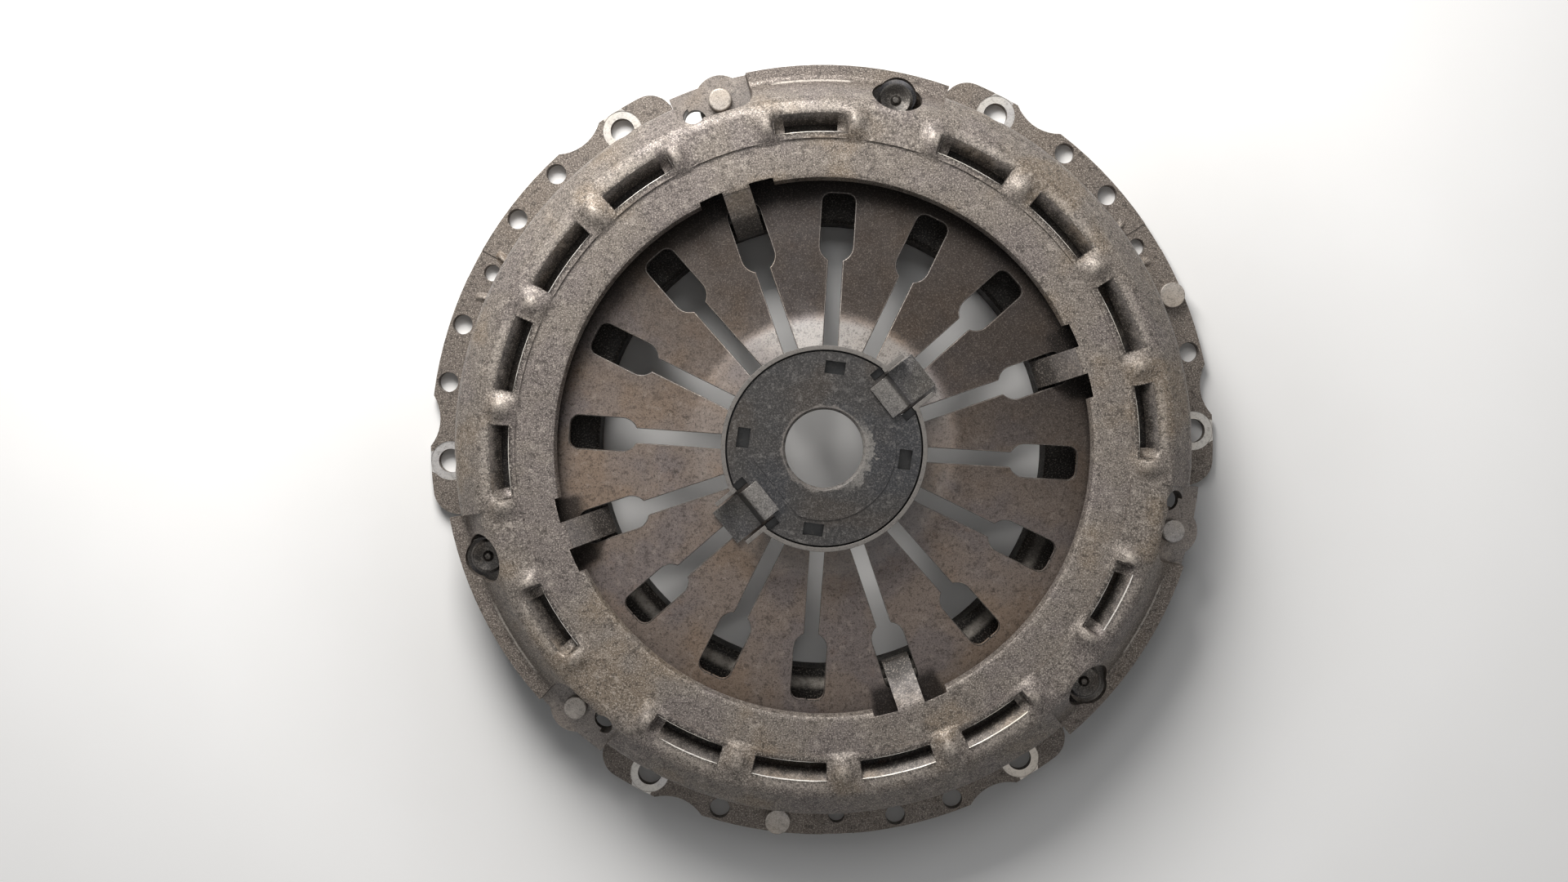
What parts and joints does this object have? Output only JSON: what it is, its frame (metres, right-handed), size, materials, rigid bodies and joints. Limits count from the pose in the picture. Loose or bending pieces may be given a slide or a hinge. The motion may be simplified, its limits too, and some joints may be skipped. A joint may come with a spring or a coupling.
{
  "type": "clutch pressure plate",
  "caption": "Push-type self-adjusting clutch cover with diaphragm spring, wedge ring, cast pressure plate on leaf springs and a clipped thrust plate.",
  "frame": {"origin": "centre of the six mounting holes on the cover flange's flywheel face", "axes": "+Z along the clutch axis, from the flywheel towards the gearbox; +X towards the first mounting hole, which lies 2 degrees from it"},
  "size_m": [0.282, 0.2736, 0.0456],
  "materials": {
    "cover_steel": "pressed sheet steel, matt grey-brown with fine speckle, bright at sheared and coined edges",
    "rivet_steel": "upset steel rivet heads, dull grey",
    "leaf_steel": "blued spring strip",
    "spring_steel": "shot-peened spring steel, taupe, polished where the thrust plate rubs",
    "sensor_steel": "dark tempered spring steel",
    "ring_steel": "pressed ring, bright edges",
    "wire_steel": "drawn spring wire",
    "grey_iron": "cast iron, ground friction face and bore chamfer",
    "thrust_steel": "dark hardened disc, worn bore edge",
    "clip_steel": "thin formed spring sheet"
  },
  "bodies": {
    "cover": {"cover": "cover_steel", "balance_rivets": "rivet_steel", "strap_rivets": "rivet_steel", "diaphragm_spring": "spring_steel", "sensor_spring": "sensor_steel", "leaf_spring_1_1": "leaf_steel", "leaf_spring_1_2": "leaf_steel", "leaf_spring_1_3": "leaf_steel", "leaf_spring_2_1": "leaf_steel", "leaf_spring_2_2": "leaf_steel", "leaf_spring_2_3": "leaf_steel", "leaf_spring_3_1": "leaf_steel", "leaf_spring_3_2": "leaf_steel", "leaf_spring_3_3": "leaf_steel"},
    "pressure_plate": {"pressure_plate": "grey_iron", "lug_rivets": "rivet_steel"},
    "release_plate": {"thrust_plate": "thrust_steel", "retainer_cup": "clip_steel", "spring_clip_1": "clip_steel", "spring_clip_2": "clip_steel"},
    "ring_springs": {"adjuster_springs": "wire_steel"},
    "adjuster_ring": {"adjuster_ring": "ring_steel"}
  },
  "joints": [
    {"name": "plate_lift", "type": "slide", "parent": "cover", "child": "pressure_plate", "axis": [0, 0, 1], "range_m": [0, 0.0018], "stiffness_N_per_m": 20000, "deforming": ["leaf_spring_1_1", "leaf_spring_1_2", "leaf_spring_1_3", "leaf_spring_2_1", "leaf_spring_2_2", "leaf_spring_2_3", "leaf_spring_3_1", "leaf_spring_3_2", "leaf_spring_3_3", "diaphragm_spring"]},
    {"name": "release_travel", "type": "slide", "parent": "cover", "child": "release_plate", "axis": [0, 0, 1], "range_m": [-0.0086, 0]},
    {"name": "ring_axial", "type": "slide", "parent": "cover", "child": "ring_springs", "axis": [0, 0, 1], "range_m": [0, 0.00205]},
    {"name": "ring_turn", "type": "hinge", "parent": "ring_springs", "child": "adjuster_ring", "pos_m": [0, 0, 0.027], "axis": [0, 0, 1], "range_deg": [-8, 0], "stiffness_Nm_per_rad": 0.6, "springref_deg": 11.46, "deforming": ["adjuster_springs"]}
  ],
  "couplings": [
    {"joint": "release_travel", "follows": "plate_lift", "ratio": -4.7333},
    {"joint": "ring_axial", "follows": "ring_turn", "m_per_rad": -0.014324}
  ]
}
